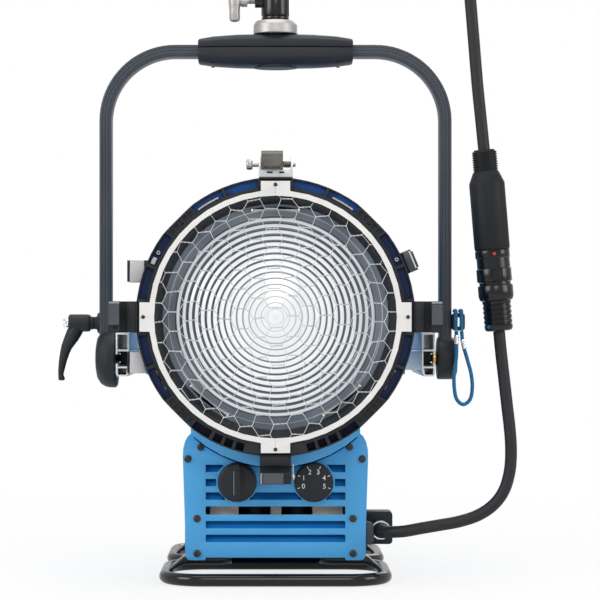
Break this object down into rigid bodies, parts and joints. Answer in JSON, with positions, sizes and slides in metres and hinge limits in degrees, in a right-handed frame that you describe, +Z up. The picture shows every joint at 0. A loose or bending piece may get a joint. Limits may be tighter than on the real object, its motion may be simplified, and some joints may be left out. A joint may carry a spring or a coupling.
{
  "type": "fresnel spotlight",
  "caption": "Studio fresnel lamp head with a stepped lens door, wire guard, slotted base case on tube skids, tilting stirrup with grip, hanger socket and cable coupler.",
  "frame": {"origin": "on the floor, under the middle of the lamp's bounding box without its cords", "axes": "+Z up, -Y the lens side that faces the viewer, +X to the right as seen from the front"},
  "size_m": [0.666, 0.5058, 0.9223],
  "materials": {
    "blue_paint": "satin",
    "black_casting": "satin",
    "black_plastic": "matte",
    "skid_black": "gloss",
    "yoke_grey": "satin",
    "guard_silver": "satin",
    "wire_steel": "satin",
    "lens_glass": "polished",
    "bare_aluminium": "satin",
    "chrome": "polished",
    "steel": "satin",
    "brass": "polished",
    "cable_rubber": "matte",
    "loop_cord": "matte",
    "latch_bronze": "satin",
    "igniter_beige": "matte",
    "ceramic": "satin",
    "quartz": "polished",
    "mirror": "polished"
  },
  "bodies": {
    "lamp_house": {"housing_shell": "blue_paint", "front_flange": "blue_paint", "rear_cover": "blue_paint", "rear_handle": "black_plastic", "lower_case": "blue_paint", "front_panel": "blue_paint", "dial_disc": "black_plastic", "igniter_block": "igniter_beige", "left_capacitor": "black_plastic", "right_capacitor": "black_plastic", "carriage_rods": "steel", "front_skid": "skid_black", "rear_skid": "skid_black", "left_rail": "bare_aluminium", "right_rail": "bare_aluminium", "upper_hinge": "bare_aluminium", "lower_hinge": "bare_aluminium", "inlet_plate": "black_plastic", "inlet_cover": "yoke_grey", "cable_gland": "chrome", "tail_cable": "cable_rubber", "tail_connector": "black_plastic", "coupling_ring": "black_plastic", "extension_connector": "black_plastic", "extension_cable": "cable_rubber", "cable_grip": "steel"},
    "lens_door": {"door_ring": "black_casting", "wire_guard": "wire_steel", "guard_ring": "guard_silver", "lens_clamp_ring": "black_casting", "fresnel_lens": "lens_glass", "lens_retainer": "steel", "left_ear": "black_casting", "right_ear": "black_casting", "bottom_ear": "black_casting", "latch_bracket": "bare_aluminium"},
    "top_latch": {"latch_block": "latch_bronze"},
    "latch_pin": {"latch_knob": "steel"},
    "door_catch": {"door_catch": "steel"},
    "focus_knob": {"focus_knob": "black_plastic", "focus_spindle": "steel"},
    "lamp_carriage": {"lamp_carriage": "bare_aluminium", "lamp_holder": "ceramic", "discharge_lamp": "quartz", "reflector": "mirror"},
    "yoke_slider": {"left_slide_nut": "black_plastic", "right_slide_nut": "black_plastic", "brass_nut": "brass"},
    "yoke": {"yoke_tube": "yoke_grey", "grip_upper": "black_plastic", "grip_lower": "black_plastic", "left_end_cover": "black_plastic", "right_end_cover": "black_plastic", "spigot_collar": "bare_aluminium", "cord_hook": "black_plastic", "loop_cord": "loop_cord"},
    "tilt_lever": {"tilt_lever": "black_plastic"},
    "lever_button": {"lever_button": "chrome"},
    "hanger_socket": {"hanger_socket": "skid_black"},
    "t_screw": {"t_screw": "bare_aluminium"}
  },
  "joints": [
    {"name": "lens_door", "type": "hinge", "parent": "lamp_house", "child": "lens_door", "pos_m": [-0.1819, -0.1669, 0.38], "axis": [0, 0, -1], "range_deg": [0, 95]},
    {"name": "top_latch", "type": "hinge", "parent": "lens_door", "child": "top_latch", "pos_m": [0.0226, -0.2089, 0.5956], "axis": [-1, 0, 0], "range_deg": [0, 60], "stiffness_Nm_per_rad": 0.4, "springref_deg": -8.59},
    {"name": "latch_pin", "type": "slide", "parent": "lens_door", "child": "latch_pin", "axis": [-1, 0, 0], "range_m": [0, 0.012], "stiffness_N_per_m": 300},
    {"name": "door_catch", "type": "hinge", "parent": "lamp_house", "child": "door_catch", "pos_m": [0.2157, -0.1599, 0.4604], "axis": [-0.3843, 0, 0.9232], "range_deg": [0, 70]},
    {"name": "focus_knob", "type": "hinge", "parent": "lamp_house", "child": "focus_knob", "pos_m": [-0.0324, -0.1539, 0.143], "axis": [0, -1, 0], "range_deg": [-360, 360]},
    {"name": "lamp_carriage", "type": "slide", "parent": "lamp_house", "child": "lamp_carriage", "axis": [0, 1, 0], "range_m": [-0.075, 0.075]},
    {"name": "yoke_slide", "type": "slide", "parent": "lamp_house", "child": "yoke_slider", "axis": [0, 1, 0], "range_m": [-0.04, 0.04]},
    {"name": "yoke_tilt", "type": "hinge", "parent": "yoke_slider", "child": "yoke", "pos_m": [0.0226, -0.0689, 0.3193], "axis": [-1, 0, 0], "range_deg": [-100, 100]},
    {"name": "tilt_lever", "type": "hinge", "parent": "yoke", "child": "tilt_lever", "pos_m": [-0.2574, -0.0689, 0.3711], "axis": [1, 0, 0], "range_deg": [-60, 60]},
    {"name": "lever_button", "type": "slide", "parent": "tilt_lever", "child": "lever_button", "axis": [1, 0, 0], "range_m": [0, 0.003], "stiffness_N_per_m": 400},
    {"name": "socket_pan", "type": "hinge", "parent": "yoke", "child": "hanger_socket", "pos_m": [0.0226, -0.0689, 0.84], "axis": [0, 0, 1], "continuous": true},
    {"name": "t_screw", "type": "hinge", "parent": "hanger_socket", "child": "t_screw", "pos_m": [-0.0074, -0.0689, 0.8467], "axis": [1, 0, 0], "range_deg": [-180, 180]}
  ],
  "couplings": [
    {"joint": "focus_knob", "follows": "lamp_carriage", "rad_per_m": 83.7}
  ]
}
